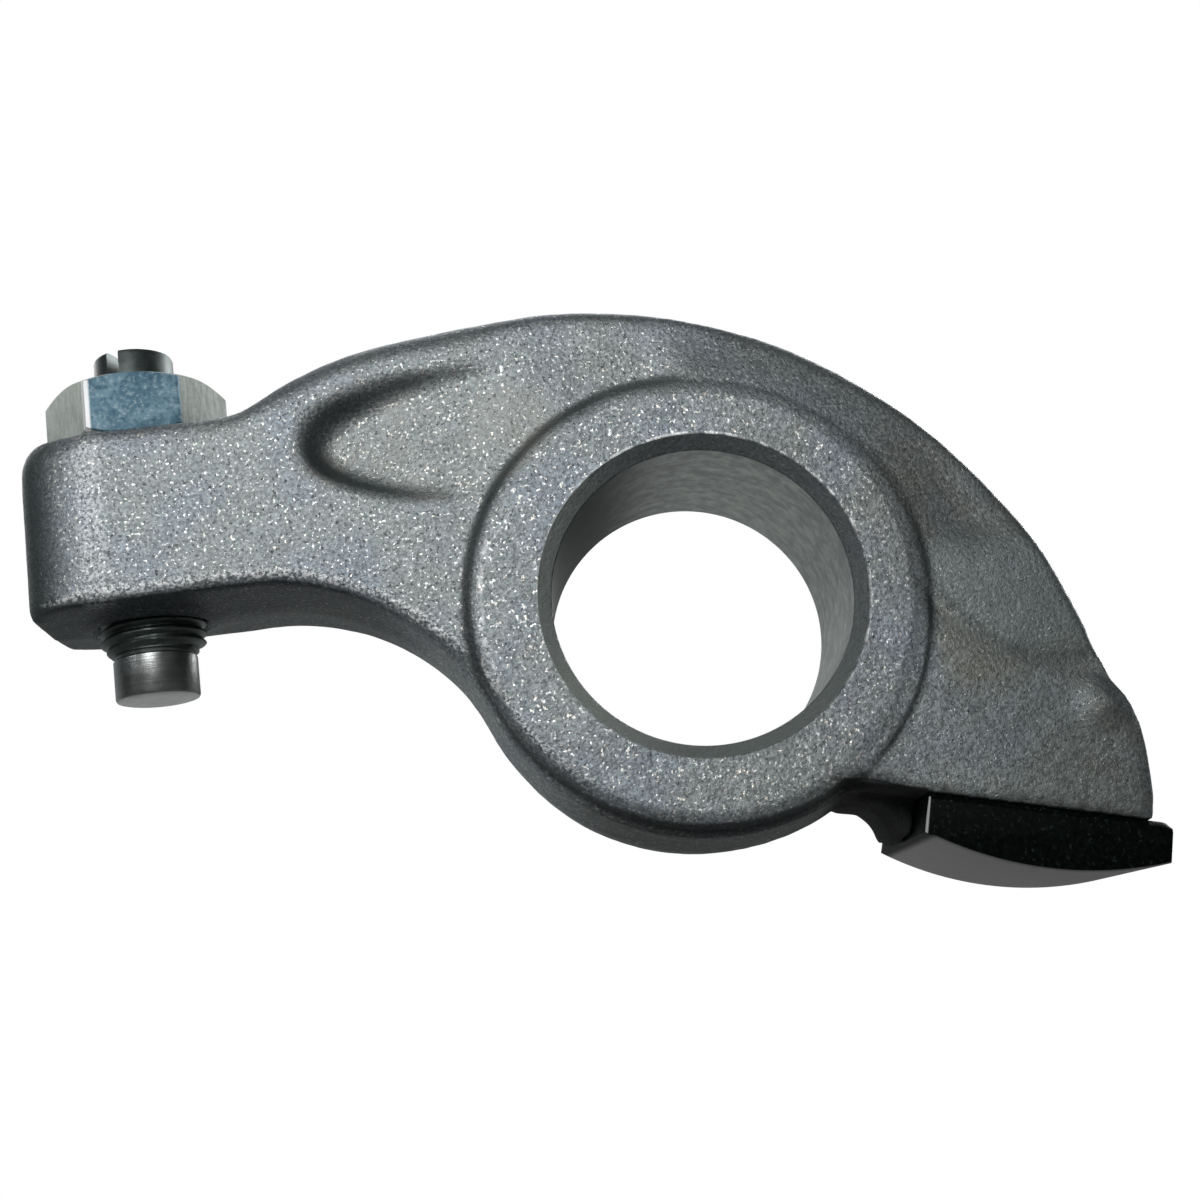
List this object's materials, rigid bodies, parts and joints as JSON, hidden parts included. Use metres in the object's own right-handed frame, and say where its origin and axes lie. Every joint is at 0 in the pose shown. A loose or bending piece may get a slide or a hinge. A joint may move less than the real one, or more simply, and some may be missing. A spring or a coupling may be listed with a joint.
{
  "type": "rocker arm",
  "caption": "Cast rocker arm with a shaft bore, a hard slipper pad at one end and a locked adjusting screw at the other.",
  "frame": {"origin": "middle of the shaft bore, on its axis", "axes": "+Y along the shaft bore, +Z along the adjusting screw towards its slotted end, +X from the screw end to the pad end"},
  "size_m": [0.0796, 0.0186, 0.0498],
  "materials": {
    "casting": "blasted casting",
    "pad": "dark, ground contact face",
    "screw": "turned steel",
    "nut": "pale blue zinc"
  },
  "bodies": {
    "arm": {"rocker_arm": "casting", "slipper_pad": "pad"},
    "screw": {"adjusting_screw": "screw"},
    "nut": {"lock_nut": "nut"}
  },
  "joints": [
    {"name": "screw_advance", "type": "slide", "parent": "arm", "child": "screw", "axis": [0, 0, 1], "range_m": [-0.002, 0.002]},
    {"name": "nut_turn", "type": "hinge", "parent": "arm", "child": "nut", "pos_m": [-0.0413, 0, 0.0205], "axis": [0, 0, 1], "range_deg": [0, 180]}
  ]
}
